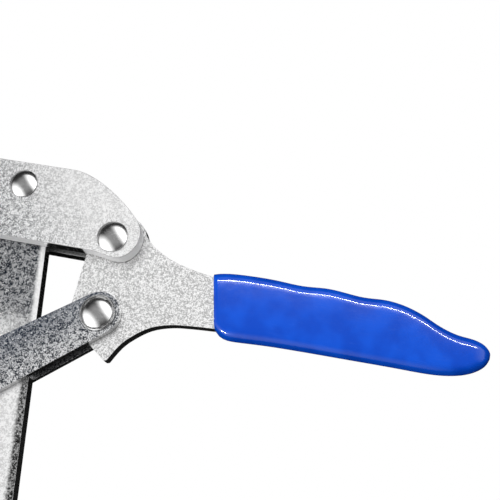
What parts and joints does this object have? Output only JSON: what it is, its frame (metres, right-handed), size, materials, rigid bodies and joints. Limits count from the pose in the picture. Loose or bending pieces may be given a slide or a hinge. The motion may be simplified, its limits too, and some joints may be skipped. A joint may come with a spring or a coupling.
{
  "type": "toggle-locking C-clamp pliers",
  "caption": "Plate-steel locking pliers: a lever with a dipped grip works a toggle link that closes a C-shaped clamp jaw against a screw spindle.",
  "frame": {"origin": "middle of the bounding box's base, the tool lying flat on its rear rivet heads", "axes": "+X along the body towards the lever grip, +Y away from the fixed handle, +Z through the plates towards the front plate"},
  "size_m": [0.4102, 0.3, 0.0242],
  "materials": {
    "plate_zinc": "zinc-plated pressed plate, fine grain, satin",
    "strap_zinc": "zinc-plated strap, coarser grain, satin",
    "bright_zinc": "bright zinc, polished domes",
    "black_oxide_steel": "oiled black oxide on turned steel",
    "blue_vinyl": "glossy dipped vinyl"
  },
  "bodies": {
    "frame": {"front_body_plate": "plate_zinc", "rear_body_plate": "plate_zinc", "frame_core_plate": "plate_zinc", "fixed_handle_bar": "plate_zinc", "fixed_handle_grip": "blue_vinyl", "bar_rivet": "bright_zinc", "bar_leg_rivet": "bright_zinc", "core_corner_rivet": "bright_zinc", "core_arm_rivet": "bright_zinc", "core_leg_rivet": "bright_zinc", "nut_inner_rivet": "bright_zinc", "nut_outer_rivet": "bright_zinc", "spindle_nut": "plate_zinc", "lever_pivot_rivet": "bright_zinc", "jaw_pivot_rivet": "bright_zinc"},
    "lever": {"lever_plate": "plate_zinc", "lever_grip": "blue_vinyl", "link_pivot_rivet": "bright_zinc"},
    "link": {"front_link_strap": "strap_zinc", "rear_link_strap": "strap_zinc", "front_lever_washer": "bright_zinc", "rear_lever_washer": "bright_zinc", "front_jaw_washer": "bright_zinc", "rear_jaw_washer": "bright_zinc", "link_jaw_rivet": "bright_zinc"},
    "moving_jaw": {"moving_jaw": "plate_zinc", "jaw_anvil": "plate_zinc"},
    "spindle_carrier": {"pad_retaining_ring": "black_oxide_steel"},
    "spindle": {"spindle": "black_oxide_steel"},
    "spindle_pad": {"spindle_pad": "black_oxide_steel"},
    "tommy_bar": {"tommy_bar": "bright_zinc", "tommy_left_knob": "bright_zinc", "tommy_right_knob": "bright_zinc"}
  },
  "joints": [
    {"name": "lever_pivot", "type": "hinge", "parent": "frame", "child": "lever", "pos_m": [0.04955, 0.08004, 0.0121], "axis": [0, 0, -1], "range_deg": [-6, 32]},
    {"name": "link_pivot", "type": "hinge", "parent": "lever", "child": "link", "pos_m": [0.05145, 0.04814, 0.0121], "axis": [0, 0, 1], "range_deg": [-10, 50]},
    {"name": "jaw_pivot", "type": "hinge", "parent": "frame", "child": "moving_jaw", "pos_m": [-0.08555, 0.00204, 0.0121], "axis": [0, 0, -1], "range_deg": [-1.8, 8.8]},
    {"name": "spindle_feed", "type": "slide", "parent": "frame", "child": "spindle_carrier", "axis": [0, -1, 0], "range_m": [-0.012, 0.016]},
    {"name": "spindle_turn", "type": "hinge", "parent": "spindle_carrier", "child": "spindle", "pos_m": [-0.16655, 0.08004, 0.0121], "axis": [0, -1, 0], "range_deg": [-2165, 2885]},
    {"name": "pad_swivel", "type": "hinge", "parent": "spindle_carrier", "child": "spindle_pad", "pos_m": [-0.16655, 0.05754, 0.0121], "axis": [0, 0, 1], "range_deg": [-4, 4]},
    {"name": "tommy_bar_slide", "type": "slide", "parent": "spindle", "child": "tommy_bar", "axis": [1, 0, 0], "range_m": [-0.019, 0.019]}
  ],
  "couplings": [
    {"joint": "link_pivot", "follows": "lever_pivot", "ratio": 1.54},
    {"joint": "jaw_pivot", "follows": "lever_pivot", "ratio": 0.269},
    {"joint": "spindle_turn", "follows": "spindle_feed", "rad_per_m": 3141.6}
  ]
}
